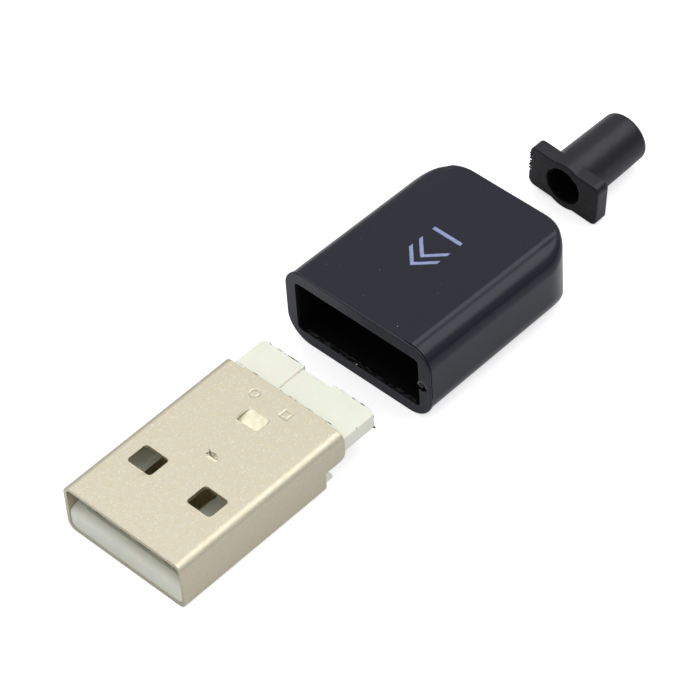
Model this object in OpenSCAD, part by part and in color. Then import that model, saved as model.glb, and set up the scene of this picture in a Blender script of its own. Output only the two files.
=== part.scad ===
// USB-A plug for soldering onto a cable: the plug, its push-on cover and its cable bush,
// laid out in line with the cover and the bush taken off.
// +X runs along the cable from the plug's mouth to the bush's tail and +Z is up.
// The origin is the centre of the row's box, on the surface that the pieces lie on.

/* [Plug shell] */
// Width of the folded shell
shell_w = 12.0; // [11.6:0.1:13]
// Height of the folded shell
shell_h = 4.5; // [4.2:0.1:5]
// Thickness of the sheet
sheet_t = 0.3; // [0.2:0.05:0.35]
// Outside radius of the four long folds
fold_r = 0.74; // [0.5:0.02:0.9]
// Length of the top wall
shell_len = 16.7; // [16:0.1:18]
// Length of the floor and of the lower half of the side walls
floor_len = 14.45; // [14:0.05:15]
// Height at which the side walls step back to the floor's length
side_step_z = 2.05; // [1.8:0.05:2.3]
// Radius of the side flaps' lower rear corner
flap_corner_r = 0.6; // [0.2:0.1:1]
// Width of the carrier stub left across the rear edge
carrier_w = 8.2; // [6:0.2:9]
// How far the carrier stub stands past the flaps
carrier_step = 0.15; // [0.05:0.05:0.3]
// Gap of the dovetailed seam under the floor
seam_gap = 0.06; // [0.04:0.01:0.1]

/* [Latch windows] */
// Distance from the mouth to the middle of the windows
window_x = 5.65; // [5.2:0.05:6]
// Distance between the middles of a pair of windows
window_pitch = 6.0; // [5.6:0.1:6.4]
// Length of a window along the plug
window_len = 2.0; // [1.6:0.1:2.4]
// Width of a window across the plug
window_w = 2.4; // [2:0.1:2.6]
// Corner radius of the windows
window_r = 0.3; // [0.1:0.05:0.5]

/* [Stake and pressed tab] */
// Distance from the mouth to the stake dimple
stake_x = 9.25; // [9.2:0.05:10]
// Radius of the stake punch's ball
stake_ball_r = 1.2; // [1:0.1:1.4]
// Depth of the stake dimple
stake_depth = 0.28; // [0.2:0.02:0.3]
// Distance from the mouth to the cut edge of the pressed tab
tab_x = 12.55; // [12:0.05:13]
// Length of the pressed tab
tab_len = 1.6; // [1.2:0.1:2]
// Width of the pressed tab
tab_w = 2.1; // [1.6:0.1:2.6]
// How far the tab's free edge is pushed in
tab_drop = 0.38; // [0.3:0.02:0.5]

/* [Insulator] */
// Clearance between the insulator and the shell
shell_fit = 0.03; // [0.02:0.01:0.06]
// Setback of the tongue behind the mouth
tongue_setback = 0.08; // [0.02:0.02:0.3]
// Height of the tongue's upper side over the surface below
tongue_top_z = 2.25; // [2.1:0.05:2.3]
// Length of the rounded lead-in on the tongue's front edge
lead_len = 0.85; // [0.5:0.05:1]
// Height of the rounded lead-in on the tongue's front edge
lead_h = 0.6; // [0.4:0.05:0.7]
// Width of the sunk bed that the contacts lie in
bed_w = 9.2; // [8.8:0.1:9.8]
// Depth of the sunk bed
bed_depth = 0.15; // [0.1:0.05:0.2]
// Wall left between the lead-in and the bed
lip_len = 0.7; // [0.6:0.05:1]
// Distance from the mouth to the full-height block
block_x = 8.4; // [8.2:0.05:8.4]
// Distance from the mouth to the rear end of the block under the top wall
block_roof_x = 16.1; // [15.6:0.1:16.4]
// Distance from the mouth to the rear end of the block's lower half
block_floor_x = 15.0; // [14.7:0.1:15.4]
// Length of the side lugs behind the block's lower half
lug_len = 0.4; // [0.2:0.1:0.6]
// Width of the side lugs
lug_w = 1.1; // [0.8:0.1:1.3]
// Height of the side lugs' upper edge over the surface below
lug_top_z = 1.6; // [1.2:0.1:1.8]
// Distance from the mouth to the rear end of the solder plate
plate_x = 20.2; // [19:0.1:21]
// Height of the solder plate's upper side over the surface below
plate_top_z = 3.58; // [3.3:0.02:3.8]
// Width of the sunk channel in the top of the solder plate
plate_channel_w = 2.9; // [2:0.1:4]
// Depth of that channel
plate_channel_depth = 0.18; // [0.1:0.02:0.3]
// Notch between the plate's two side blocks at the rear edge
plate_notch = 0.2; // [0.1:0.05:0.4]
// Corner radius of the solder plate's rear corners
plate_corner_r = 0.5; // [0.2:0.1:1]
// Height of the ribs between the solder tails
rib_h = 0.3; // [0.2:0.05:0.4]
// Width of those ribs
rib_w = 0.4; // [0.3:0.05:0.5]

/* [Contacts] */
// Width of a contact on the tongue
contact_w = 1.0; // [0.8:0.05:1.1]
// Thickness of a contact
contact_t = 0.25; // [0.2:0.01:0.28]
// Distance of the inner contacts from the middle
inner_contact_y = 1.0; // [0.95:0.05:1.2]
// Distance of the outer contacts from the middle
outer_contact_y = 3.5; // [3.2:0.1:3.6]
// Distance from the mouth to the contacts' front tips
contact_tip_x = 1.05; // [1:0.05:1.4]
// Length of a contact's bent-down nose
nose_len = 0.45; // [0.3:0.05:0.6]
// Drop of a contact's nose
nose_drop = 0.2; // [0.1:0.05:0.3]
// Width of a solder tail
tail_w = 1.25; // [1.1:0.05:1.3]
// How far the solder tails stop short of the plate's rear end
tail_short = 0.45; // [0.3:0.05:1]
// Clearance round a contact in the insulator
contact_fit = 0.02; // [0.01:0.01:0.04]
// How far the barbs stand out of a contact's edges
barb_out = 0.08; // [0.04:0.01:0.1]

/* [Cover] */
// Gap between the plug and the cover as they lie
cover_gap = 4.1; // [2:0.05:8]
// Width of the cover at its mouth
cover_w = 14.55; // [14.2:0.05:16]
// Height of the cover at its mouth
cover_h = 7.1; // [6.8:0.1:8]
// Length of the cover
cover_len = 17.05; // [15:0.05:20]
// Fall of the cover's top from its mouth to its rear end
cover_drop = 0.5; // [0:0.05:0.6]
// Length of the rim at the mouth, up to the mould's parting line
rim_len = 0.25; // [0.1:0.05:0.5]
// How far the rim stands out on each side of the body behind it
rim_step = 0.1; // [0.05:0.05:0.2]
// Radius of the rim's upper corners
rim_high_r = 1.8; // [1.2:0.1:2.2]
// Radius of the cover's lower long edges
cover_low_r = 2.3; // [1.4:0.1:2.5]
// Radius of the body's upper long edges
cover_high_r = 1.65; // [1:0.05:2]
// Width of the raised crown along the top
crown_w = 10.5; // [8:0.5:10.5]
// Height of that crown
crown_h = 0.1; // [0.05:0.05:0.2]
// Width of the slope at each edge of the crown
crown_slope = 0.35; // [0.1:0.05:0.5]
// Radius of the cover's rear corners seen from above
cover_corner_r = 3.6; // [2:0.1:4.5]
// Radius of the rear face's upper and lower edges
cover_rear_r = 0.3; // [0.2:0.05:0.6]
// Clearance of the cover's cavity over the shell, both sides together
cover_fit = 0.15; // [0.1:0.01:0.3]
// Corner radius inside the cavity
cavity_r = 0.3; // [0.2:0.05:0.5]
// Thickness of the cover's rear wall
rear_wall = 1.3; // [1:0.1:1.8]
// Chamfer round the cavity's mouth
mouth_chamfer = 0.3; // [0.1:0.05:0.4]
// Diameter of the gate pit on the mouth's right rim
gate_d = 1.05; // [0.6:0.05:1.2]
// Distance of the gate pit's middle from the rim's outer side
gate_inset = 0.85; // [0.65:0.05:1.1]
// Depth of the gate pit
gate_depth = 0.35; // [0.2:0.05:0.6]

/* [Cable bush] */
// Gap between the cover and the bush as they lie
bush_gap = 6.3; // [2:0.05:10]
// How far the bush lies off the row's middle line
bush_y = 0.25; // [0:0.05:1]
// Length of the bush
bush_len = 7.55; // [6:0.05:12]
// Diameter of the bush where it passes through the flange
bush_d = 4.6; // [4.4:0.05:5]
// Diameter of the sleeve just behind the flange
sleeve_d = 4.45; // [4.3:0.05:4.55]
// Diameter of the sleeve at its free end
sleeve_end_d = 4.25; // [3.8:0.05:4.3]
// Radius of the sleeve's rounded free edge
sleeve_end_r = 0.3; // [0.1:0.05:0.4]
// Width of the flange
flange_w = 6.9; // [6.2:0.1:8]
// Height of the flange
flange_h = 4.1; // [3.8:0.05:4.3]
// Thickness of the flange
flange_t = 1.2; // [0.8:0.1:1.6]
// Corner radius of the flange
flange_r = 0.6; // [0.2:0.05:0.8]
// Diameter of the cable bore
cable_d = 3.05; // [2.6:0.05:3.2]
// Clearance of the cover's rear hole round the bush
bush_fit = 0.15; // [0.05:0.05:0.3]

/* [Hidden] */
$fn = 64;
past = 1;                                   // how far a cutter runs past the face it opens

// Places along the row
row_len = plate_x + cover_gap + cover_len + bush_gap + bush_len;
mouth_x = -row_len / 2;
cover_x = mouth_x + plate_x + cover_gap;
bush_x = cover_x + cover_len + bush_gap;

// Shell, from the mouth
inner_w = shell_w - 2 * sheet_t;
roof_z = shell_h - sheet_t;                 // underside of the shell's top wall
inner_fold_r = fold_r - sheet_t;
stake_ball_z = shell_h - stake_depth + stake_ball_r;
seam_lock_x = floor_len * 0.62;             // middle of the dovetail that locks the seam
seam_lock_l = 2.4;
seam_lock_w = 1.2;
seam_lock_lean = 0.5;

// Insulator, from the mouth
body_w = inner_w - 2 * shell_fit;
body_top_z = roof_z - shell_fit;
bed_x = tongue_setback + lip_len;
bed_z = tongue_top_z - bed_depth;
pocket_fit = 0.06;                          // round the stake and the pressed tab

// Contacts, from the mouth
contact_z = tongue_top_z - contact_t;       // underside of the contacts
plate_z = tongue_top_z + contact_fit;       // underside of the solder plate
tail_x = block_floor_x;
tail_end_x = plate_x - tail_short;
tail_cut = 0.3;                             // bevels on a solder tail's corners
barb_xs = [for (share = [0.35, 0.65]) block_x + share * (block_floor_x - block_x)];
barb_len = 0.6;
contact_ys = [-outer_contact_y, -inner_contact_y, inner_contact_y, outer_contact_y];
contact_names = ["contact_vbus", "contact_d_minus", "contact_d_plus", "contact_ground"];
rib_ys = [for (i = [0:2]) (contact_ys[i] + contact_ys[i + 1]) / 2];

// Cover, from its mouth
cavity_w = shell_w + cover_fit;
cavity_h = shell_h + cover_fit;
cavity_len = cover_len - rear_wall;
body_half_w = cover_w / 2 - rim_step;
top_pitch = atan(cover_drop / cover_len);
tail_hole_d = bush_d + bush_fit;

// The bush lies on the round of its flange and on the flange's lower right corner
corner_y = flange_w / 2 - flange_r;
corner_z = flange_h / 2 - flange_r;
bush_roll = asin((bush_d / 2 - flange_r) / norm([corner_y, corner_z])) - atan2(corner_z, corner_y);

// Extrudes a drawing of (y, z) along +X
module along_x(len) { rotate([90, 0, 90]) linear_extrude(len) children(); }

// Extrudes a drawing of (x, z) across the middle plane, w wide
module across_y(w) { translate([0, w / 2, 0]) rotate([90, 0, 0]) linear_extrude(w) children(); }

// Rectangle round the origin with its own radius on the lower and the upper corners
module rounded_rect(w, h, low_r, high_r) {
    for (side = [-1, 1]) {
        translate([side * (w / 2 - low_r), low_r - h / 2]) circle(low_r);
        translate([side * (w / 2 - high_r), h / 2 - high_r]) circle(high_r);
    }
    translate([low_r - w / 2, -h / 2]) square([w - 2 * low_r, h / 2]);
    translate([high_r - w / 2, 0]) square([w - 2 * high_r, h / 2]);
    translate([-w / 2, low_r - h / 2]) square([w, h - low_r - high_r]);
}

// ---- Plug ----

module place_plug() { translate([mouth_x, 0, 0]) children(); }

// Section of the folded shell's outside, standing on z = 0
module shell_section(inset) {
    r = fold_r - inset;
    translate([0, shell_h / 2]) rounded_rect(shell_w - 2 * inset, shell_h - 2 * inset, r, r);
}

// Side view of the shell: full length above, shorter below the step
module shell_side() {
    square([floor_len, shell_h]);
    translate([0, side_step_z + flap_corner_r]) square([shell_len, shell_h]);
    translate([0, side_step_z]) square([shell_len - carrier_step - flap_corner_r, shell_h / 2]);
    translate([shell_len - carrier_step - flap_corner_r, side_step_z + flap_corner_r])
        circle(flap_corner_r);
}

// The seam's run under the floor, as the edge shifted sideways by dy
function seam_edge(dy) =
    let (half = seam_lock_l / 2 + sign(dy) * seam_gap / 2, wide = half + seam_lock_lean)
    [[-past, dy], [seam_lock_x - half, dy], [seam_lock_x - wide, seam_lock_w + dy],
     [seam_lock_x + wide, seam_lock_w + dy], [seam_lock_x + half, dy], [floor_len + past, dy]];

module seam() {
    low = seam_edge(-seam_gap / 2);
    high = seam_edge(seam_gap / 2);
    translate([0, 0, -past]) linear_extrude(past + sheet_t * 1.5)
        polygon(concat(low, [for (i = [len(high) - 1:-1:0]) high[i]]));
}

module windows() {
    for (side = [-1, 1])
        translate([window_x, side * window_pitch / 2, -past]) linear_extrude(shell_h + 2 * past)
            rounded_rect(window_len, window_w, window_r, window_r);
}

// The ball of the stake punch, lowered by the sheet's thickness for the bulge inside
module stake_ball(lower, grow) {
    translate([stake_x, 0, stake_ball_z - lower]) sphere(stake_ball_r + grow, $fn = 96);
}

// Side view of the pressed tab: hinged at its rear end, pushed in at its front
module tab_side(grow) {
    polygon([[tab_x + seam_gap - grow, shell_h - tab_drop], [tab_x + tab_len, shell_h],
             [tab_x + tab_len, roof_z],
             [tab_x + seam_gap - grow, roof_z - tab_drop - grow]]);
}

module shell() {
    color([0.78, 0.73, 0.62]) place_plug() {
        difference() {
            intersection() {
                union() {
                    along_x(shell_len) difference() {
                        shell_section(0);
                        shell_section(sheet_t);
                    }
                    intersection() {
                        stake_ball(sheet_t, 0);
                        translate([0, -shell_w / 2, roof_z - stake_depth])
                            cube([shell_len, shell_w, stake_depth]);
                    }
                }
                across_y(shell_w) shell_side();
            }
            windows();
            seam();
            stake_ball(0, 0);
            translate([tab_x, -tab_w / 2, roof_z - past]) cube([tab_len, tab_w, sheet_t + 2 * past]);
            for (side = [-1, 1])
                translate([shell_len - carrier_step, side * (carrier_w + shell_w) / 2 - shell_w / 2, -past])
                    cube([past, shell_w, shell_h + 2 * past]);
        }
        across_y(tab_w - 2 * seam_gap) tab_side(0);
    }
}

// Side view of the insulator: tongue with a rounded lead-in, block and solder plate
module insulator_side() {
    lead_z = tongue_top_z - lead_h;
    polygon(concat(
        [[tongue_setback, sheet_t]],
        [for (a = [180:-15:90]) [tongue_setback + lead_len * (1 + cos(a)), lead_z + lead_h * sin(a)]],
        [[block_x, tongue_top_z], [block_x, body_top_z], [block_roof_x, body_top_z],
         [block_roof_x, plate_top_z], [plate_x, plate_top_z], [plate_x, plate_z],
         [block_floor_x, plate_z], [block_floor_x, sheet_t]]));
}

// Plan of the insulator: straight sides, rounded rear corners and the notch between the blocks
module insulator_plan() {
    difference() {
        union() {
            translate([0, -body_w / 2]) square([plate_x - plate_corner_r, body_w]);
            translate([0, plate_corner_r - body_w / 2]) square([plate_x, body_w - 2 * plate_corner_r]);
            for (side = [-1, 1])
                translate([plate_x - plate_corner_r, side * (body_w / 2 - plate_corner_r)])
                    circle(plate_corner_r);
        }
        translate([plate_x - plate_notch, -plate_channel_w / 2]) square([past, plate_channel_w]);
    }
}

// Lugs that key the block into the shell's shorter side walls
module lugs() {
    for (side = [-1, 1])
        translate([0, side * (body_w - lug_w) / 2, 0]) across_y(lug_w)
            polygon([[block_floor_x - past, sheet_t], [block_floor_x + lug_len, sheet_t],
                     [block_floor_x + lug_len, (sheet_t + lug_top_z) / 2],
                     [block_floor_x, lug_top_z], [block_floor_x - past, lug_top_z]]);
}

// Ribs that part the solder tails under the plate
module ribs() {
    for (y = rib_ys)
        translate([block_floor_x - past, y - rib_w / 2, plate_z - rib_h])
            cube([tail_end_x - block_floor_x + past, rib_w, rib_h + sheet_t]);
}

module insulator() {
    color([0.9, 0.92, 0.86]) place_plug() difference() {
        intersection() {
            union() {
                across_y(body_w) insulator_side();
                lugs();
                ribs();
            }
            along_x(plate_x) union() {
                shell_section(sheet_t + shell_fit);
                translate([0, shell_h / 4 + sheet_t / 2])
                    square([body_w - 2 * inner_fold_r, shell_h / 2 - sheet_t], center = true);
            }
            linear_extrude(shell_h) insulator_plan();
        }
        translate([bed_x, -bed_w / 2, bed_z]) cube([block_x - bed_x, bed_w, bed_depth + past]);
        translate([block_roof_x, -plate_channel_w / 2, plate_top_z - plate_channel_depth])
            cube([plate_x, plate_channel_w, past]);
        for (y = contact_ys) contact_slot(y);
        stake_ball(sheet_t, pocket_fit);
        across_y(tab_w + 2 * pocket_fit) tab_side(pocket_fit);
        translate([tab_x - pocket_fit, -tab_w / 2 - pocket_fit, roof_z - tab_drop])
            cube([pocket_fit + seam_gap, tab_w + 2 * pocket_fit, tab_drop]);
    }
}

// ---- Contacts ----

// Side view of a contact's strip with its nose bent down, starting at x_tip on the nose's slope
module contact_side(x_tip, x_end) {
    drop = nose_drop * (contact_tip_x + nose_len - x_tip) / nose_len;
    polygon([[x_tip, contact_z - drop], [contact_tip_x + nose_len, contact_z], [x_end, contact_z],
             [x_end, tongue_top_z], [contact_tip_x + nose_len, tongue_top_z],
             [x_tip, tongue_top_z - drop]]);
}

// Plan of one edge of a contact: strip, two barbs and the wider solder tail
function contact_edge() = concat(
    [[contact_tip_x, contact_w / 2]],
    [for (x = barb_xs, corner = [[0, 0], [barb_len, barb_out], [barb_len, 0]])
        [x + corner[0], contact_w / 2 + corner[1]]],
    [[tail_x, contact_w / 2], [tail_x, tail_w / 2],
     [tail_end_x - tail_cut, tail_w / 2], [tail_end_x, tail_w / 2 - tail_cut]]);

module contact(y) {
    edge = contact_edge();
    color([0.72, 0.6, 0.3]) place_plug() translate([0, y, 0]) intersection() {
        across_y(tail_w) contact_side(contact_tip_x, tail_end_x);
        linear_extrude(shell_h)
            polygon(concat(edge, [for (i = [len(edge) - 1:-1:0]) [edge[i][0], -edge[i][1]]]));
    }
}

// Room for a contact: an open groove in the bed and a closed slot through the block
module contact_slot(y) {
    translate([0, y, 0]) {
        across_y(contact_w + 2 * contact_fit) union() {
            contact_side(contact_tip_x - contact_fit, block_x);
            translate([contact_tip_x - contact_fit, tongue_top_z - nose_drop])
                square([nose_len + contact_fit, nose_drop + past]);
            translate([contact_tip_x + nose_len, contact_z])
                square([block_x - contact_tip_x - nose_len, contact_t + past]);
        }
        translate([block_x - past, -contact_w / 2 - barb_out, contact_z])
            cube([tail_x - block_x + 2 * past, contact_w + 2 * barb_out, contact_t + contact_fit]);
    }
}

// ---- Cover ----

// Side view of the cover, with rounded rear edges under the falling top
module cover_side() {
    rear_x = cover_len - cover_rear_r;
    upper_z = cover_h - cover_drop * rear_x / cover_len - cover_rear_r / cos(top_pitch);
    square([rear_x, cover_h]);
    translate([0, cover_rear_r]) square([cover_len, upper_z - cover_rear_r]);
    for (z = [cover_rear_r, upper_z]) translate([rear_x, z]) circle(cover_rear_r);
}

// Section of the cover's upper half, with its crown's top on the origin
module cover_top_section() {
    foot_y = crown_w / 2 + crown_slope;
    translate([0, -crown_h - cover_h])
        rounded_rect(2 * body_half_w, 2 * cover_h, cover_high_r, cover_high_r);
    polygon([[-foot_y, -cover_h], [-foot_y, -crown_h], [-crown_w / 2, 0],
             [crown_w / 2, 0], [foot_y, -crown_h], [foot_y, -cover_h]]);
}

// Body of the cover: flat below, its top falling towards the rear, its rear corners rounded
module cover_body() {
    intersection() {
        along_x(cover_len) translate([0, cover_h])
            rounded_rect(2 * body_half_w, 2 * cover_h, cover_low_r, cover_low_r);
        translate([0, 0, cover_h]) rotate([0, top_pitch, 0]) translate([-past, 0, 0])
            along_x(cover_len + 2 * past) cover_top_section();
        linear_extrude(cover_h)
            rounded_rect(2 * cover_len, 2 * body_half_w, cover_corner_r, cover_corner_r);
        across_y(cover_w) cover_side();
    }
}

// Flared lead-in of the cavity's mouth, as the meeting of two wedges
module mouth_flare() {
    module flare(size) {
        polygon([[-past, size / 2 + mouth_chamfer + past], [mouth_chamfer, size / 2],
                 [mouth_chamfer, -size / 2], [-past, -size / 2 - mouth_chamfer - past]]);
    }
    intersection() {
        translate([0, 0, cover_h / 2]) across_y(cover_w) flare(cavity_h);
        linear_extrude(cover_h) flare(cavity_w);
    }
}

module cover() {
    color([0.12, 0.12, 0.13]) translate([cover_x, 0, 0]) difference() {
        union() {
            cover_body();
            along_x(rim_len) translate([0, cover_h / 2])
                rounded_rect(cover_w, cover_h, cover_low_r, rim_high_r);
        }
        translate([-past, 0, cover_h / 2]) along_x(cavity_len + past)
            rounded_rect(cavity_w, cavity_h, cavity_r, cavity_r);
        mouth_flare();
        translate([cavity_len - past, 0, cover_h / 2]) rotate([0, 90, 0])
            cylinder(d = tail_hole_d, h = rear_wall + 2 * past);
        translate([-past, gate_inset - cover_w / 2, cover_h / 2]) rotate([0, 90, 0])
            cylinder(d = gate_d, h = gate_depth + past);
    }
}

// ---- Cable bush ----

// Half section of the bush: radius outwards, length upwards
module bush_profile() {
    end_r = sleeve_end_d / 2;
    lean = (sleeve_d / 2 - end_r) / (bush_len - flange_t);
    square([bush_d / 2, flange_t]);
    polygon([[0, 0], [sleeve_d / 2, flange_t], [end_r + lean * sleeve_end_r, bush_len - sleeve_end_r],
             [end_r - sleeve_end_r, bush_len], [0, bush_len]]);
    translate([end_r - sleeve_end_r, bush_len - sleeve_end_r]) circle(sleeve_end_r);
}

module strain_relief() {
    color([0.16, 0.16, 0.17]) translate([bush_x, bush_y, bush_d / 2]) rotate([bush_roll, 0, 0])
        difference() {
            union() {
                rotate([0, 90, 0]) rotate_extrude() bush_profile();
                along_x(flange_t) rounded_rect(flange_w, flange_h, flange_r, flange_r);
            }
            translate([-past, 0, 0]) rotate([0, 90, 0]) cylinder(d = cable_d, h = bush_len + 2 * past);
        }
}

shell();
insulator();
for (i = [0:3])
    contact(contact_ys[i]);
cover();
strain_relief();
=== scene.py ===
"""Visual model of a solder-on plug with its cover and its cable bush, laid out in line."""

import logging
import math
from dataclasses import dataclass, field
from enum import Enum
from typing import Optional, Sequence, Union

import bmesh
import bpy
import numpy as np
from mathutils import Matrix, Vector


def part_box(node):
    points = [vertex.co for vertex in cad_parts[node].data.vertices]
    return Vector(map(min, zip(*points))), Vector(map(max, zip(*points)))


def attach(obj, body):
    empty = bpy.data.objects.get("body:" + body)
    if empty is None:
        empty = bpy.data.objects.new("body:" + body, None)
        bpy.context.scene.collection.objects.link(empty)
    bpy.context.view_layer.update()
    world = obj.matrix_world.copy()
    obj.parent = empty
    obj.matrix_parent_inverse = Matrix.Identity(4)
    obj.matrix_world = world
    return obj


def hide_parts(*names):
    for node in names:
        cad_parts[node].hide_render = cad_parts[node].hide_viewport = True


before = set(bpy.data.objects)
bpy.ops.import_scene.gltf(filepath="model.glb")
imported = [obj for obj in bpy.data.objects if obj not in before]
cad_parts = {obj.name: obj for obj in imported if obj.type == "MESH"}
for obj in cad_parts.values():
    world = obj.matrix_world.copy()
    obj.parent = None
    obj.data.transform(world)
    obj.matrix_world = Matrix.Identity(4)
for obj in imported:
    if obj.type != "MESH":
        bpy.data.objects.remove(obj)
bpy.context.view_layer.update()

MM = 0.001
FULL_TURN = 2 * math.pi
QUARTER_TURN = math.pi / 2
LOG = logging.getLogger("plug")
Rgb = tuple[float, float, float]
Place = tuple[float, float, float]
Array = np.ndarray
Socket = bpy.types.NodeSocket


class Slot(Enum):
    """Material slots of the record."""

    SHELL = "nickel_shell"
    INSULATOR = "white_insulator"
    CONTACT = "gilt_contact"
    COVER = "black_cover"
    BUSH = "black_bush"


# ---- Meshes ----

# Points of a copied node closer than this, in metres, are welded into one.
WELD = 1e-7
# Faces that differ by less than this are merged into one.
FLAT_ANGLE = math.radians(0.3)
# Edges between faces that differ by more than this are rounded.
SHARP_ANGLE = math.radians(28)


def ease(value: Array) -> Array:
    """Smooth step of a value that runs from 0 to 1."""
    value = np.clip(value, 0, 1)
    return value * value * (3 - 2 * value)


def new_piece(name: str, vertices: Array, faces: Sequence[Sequence[int]]) -> bpy.types.Object:
    """Make a smooth-shaded piece on the root body from vertices in millimetres.

    Args:
        name: Name of the piece.
        vertices: Array of (n, 3) places in millimetres.
        faces: Vertex numbers of each face.

    Returns:
        The new object, at the origin.
    """
    mesh = bpy.data.meshes.new(name)
    mesh.from_pydata((np.asarray(vertices, float) * MM).tolist(), [],
                     [tuple(map(int, face)) for face in faces])
    mesh.polygons.foreach_set("use_smooth", [True] * len(mesh.polygons))
    mesh.update()
    piece = bpy.data.objects.new(name, mesh)
    bpy.context.scene.collection.objects.link(piece)
    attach(piece, "root")
    return piece


def dress(piece: bpy.types.Object, *materials: bpy.types.Material) -> None:
    """Give a piece its materials, in order."""
    for material in materials:
        piece.data.materials.append(material)


def grid_faces(rows: int, columns: int, wrap_rows: bool) -> Array:
    """Number the quads of a grid whose columns close on themselves.

    Args:
        rows: Number of rings.
        columns: Points in each ring.
        wrap_rows: Whether the last ring joins the first.

    Returns:
        Array of (n, 4) vertex numbers.
    """
    row = np.arange(rows if wrap_rows else rows - 1)[:, None]
    column = np.arange(columns)[None, :]
    next_row = (row + 1) % rows
    next_column = (column + 1) % columns
    quads = np.stack([row * columns + column, row * columns + next_column,
                      next_row * columns + next_column, next_row * columns + column], -1)
    return quads.reshape(-1, 4)


def signed_volume(vertices: Array, quads: Array) -> float:
    """Six times the volume inside quads: the sum of a . (b x c) over their triangles.

    Args:
        vertices: Array of (n, 3).
        quads: Array of (m, 4) vertex numbers.

    Returns:
        The sum, negative where the quads face inwards.
    """
    a, b, c, d = (vertices[quads[:, i]] for i in range(4))
    parts = np.einsum("ij,ij->i", a, np.cross(b, c)) + np.einsum("ij,ij->i", a, np.cross(c, d))
    return float(parts.sum())


def ring_piece(name: str, rings: Array, inner: int) -> bpy.types.Object:
    """Make a piece shaped like a tube whose last ring joins its first, so it is closed.

    Args:
        name: Name of the piece.
        rings: Array of (rings, points, 3) in millimetres.
        inner: Ring from which on the faces take the piece's second material.

    Returns:
        The piece, with its faces outwards.
    """
    rows, columns = rings.shape[:2]
    vertices = rings.reshape(-1, 3)
    quads = grid_faces(rows, columns, True)
    if signed_volume(vertices, quads) < 0:
        quads = quads[:, ::-1]
    piece = new_piece(name, vertices, quads)
    second = (np.arange(rows * columns) // columns >= inner).astype(np.int32)
    piece.data.polygons.foreach_set("material_index", second)
    return piece


def slab_piece(name: str, top: Array, bottom: Array) -> bpy.types.Object:
    """Make a closed slab from two grids of the same size, joined round their borders.

    The edges of the joining walls are sharp, so that the slab lies flush in a hole.

    Args:
        name: Name of the piece.
        top: Array of (n, m, 3) in millimetres, with x along n and y along m.
        bottom: The lower grid.

    Returns:
        The piece, with its faces outwards.
    """
    rows, columns = top.shape[:2]
    count = rows * columns
    number = np.arange(count).reshape(rows, columns)
    upper = np.stack([number[:-1, :-1], number[1:, :-1], number[1:, 1:], number[:-1, 1:]],
                     -1).reshape(-1, 4)
    border = np.concatenate([number[:, 0], number[-1, 1:], number[-2::-1, -1],
                             number[0, -2:0:-1]])
    after = np.roll(border, -1)
    wall = np.stack([border, border + count, after + count, after], 1)
    quads = np.concatenate([upper, upper[:, ::-1] + count, wall])
    piece = new_piece(name, np.concatenate([top.reshape(-1, 3), bottom.reshape(-1, 3)]), quads)
    mesh = piece.data
    edge_of_corner = np.empty(len(mesh.loops), np.int32)
    mesh.loops.foreach_get("edge_index", edge_of_corner)
    first_wall_corner = 2 * upper.size
    sharp = np.zeros(len(mesh.edges), bool)
    sharp[edge_of_corner[first_wall_corner:]] = True
    mesh.attributes.new("sharp_edge", "BOOLEAN", "EDGE").data.foreach_set("value", sharp)
    return piece


def ragged_tube(path: Array, radius: float, seed: int, gaps: float = 0.35,
                soft: bool = True) -> Array:
    """Tube along a path whose thickness comes and goes, as on a torn or soiled edge.

    The radius at each station is the given one times smoothed noise, cut off at a floor.

    Args:
        path: Array of (stations, 3) in millimetres.
        radius: Largest radius.
        seed: Seed of the noise.
        gaps: Share of the noise's range below which the tube is hair-thin.
        soft: Whether the noise is smoothed along the path.

    Returns:
        Array of (stations, 6, 3).
    """
    thinnest, tip, sides = 0.06, 0.05, 6
    kernel = np.array([0.15, 0.2, 0.3, 0.2, 0.15] if soft else [0, 0, 1, 0, 0])
    noise = np.random.default_rng(seed).random(len(path) + len(kernel) - 1)
    noise = np.convolve(noise, kernel, "valid")
    noise = (noise - noise.min()) / np.ptp(noise)
    thick = radius * np.clip((noise - gaps) / (1 - gaps), thinnest, 1)
    thick[[0, -1]] = radius * tip
    along = np.gradient(path, axis=0)
    along /= np.linalg.norm(along, axis=1, keepdims=True)
    aside = np.cross(along, np.array([0.3, 0.2, 1.0]))
    aside /= np.linalg.norm(aside, axis=1, keepdims=True)
    across = np.cross(along, aside)
    turn = np.linspace(0, FULL_TURN, sides, endpoint=False)[None, :, None]
    offset = np.cos(turn) * aside[:, None] + np.sin(turn) * across[:, None]
    return path[:, None] + offset * thick[:, None, None]


@dataclass(frozen=True)
class RaggedLine:
    """A straight, ragged thread of burr or soil, in millimetres."""

    start: Place
    end: Place
    radius: float
    seed: int
    gaps: float = 0.35
    step: float = 0.07
    soft: bool = True

    def tube(self) -> Array:
        """The thread as a ragged tube, with a station at every step from its start.

        Returns:
            Array of (stations, 6, 3).
        """
        start, end = np.array(self.start), np.array(self.end)
        length = np.linalg.norm(end - start)
        share = np.arange(0, length, self.step)[:, None] / length
        return ragged_tube(start + share * (end - start), self.radius, self.seed, self.gaps,
                           self.soft)


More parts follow.
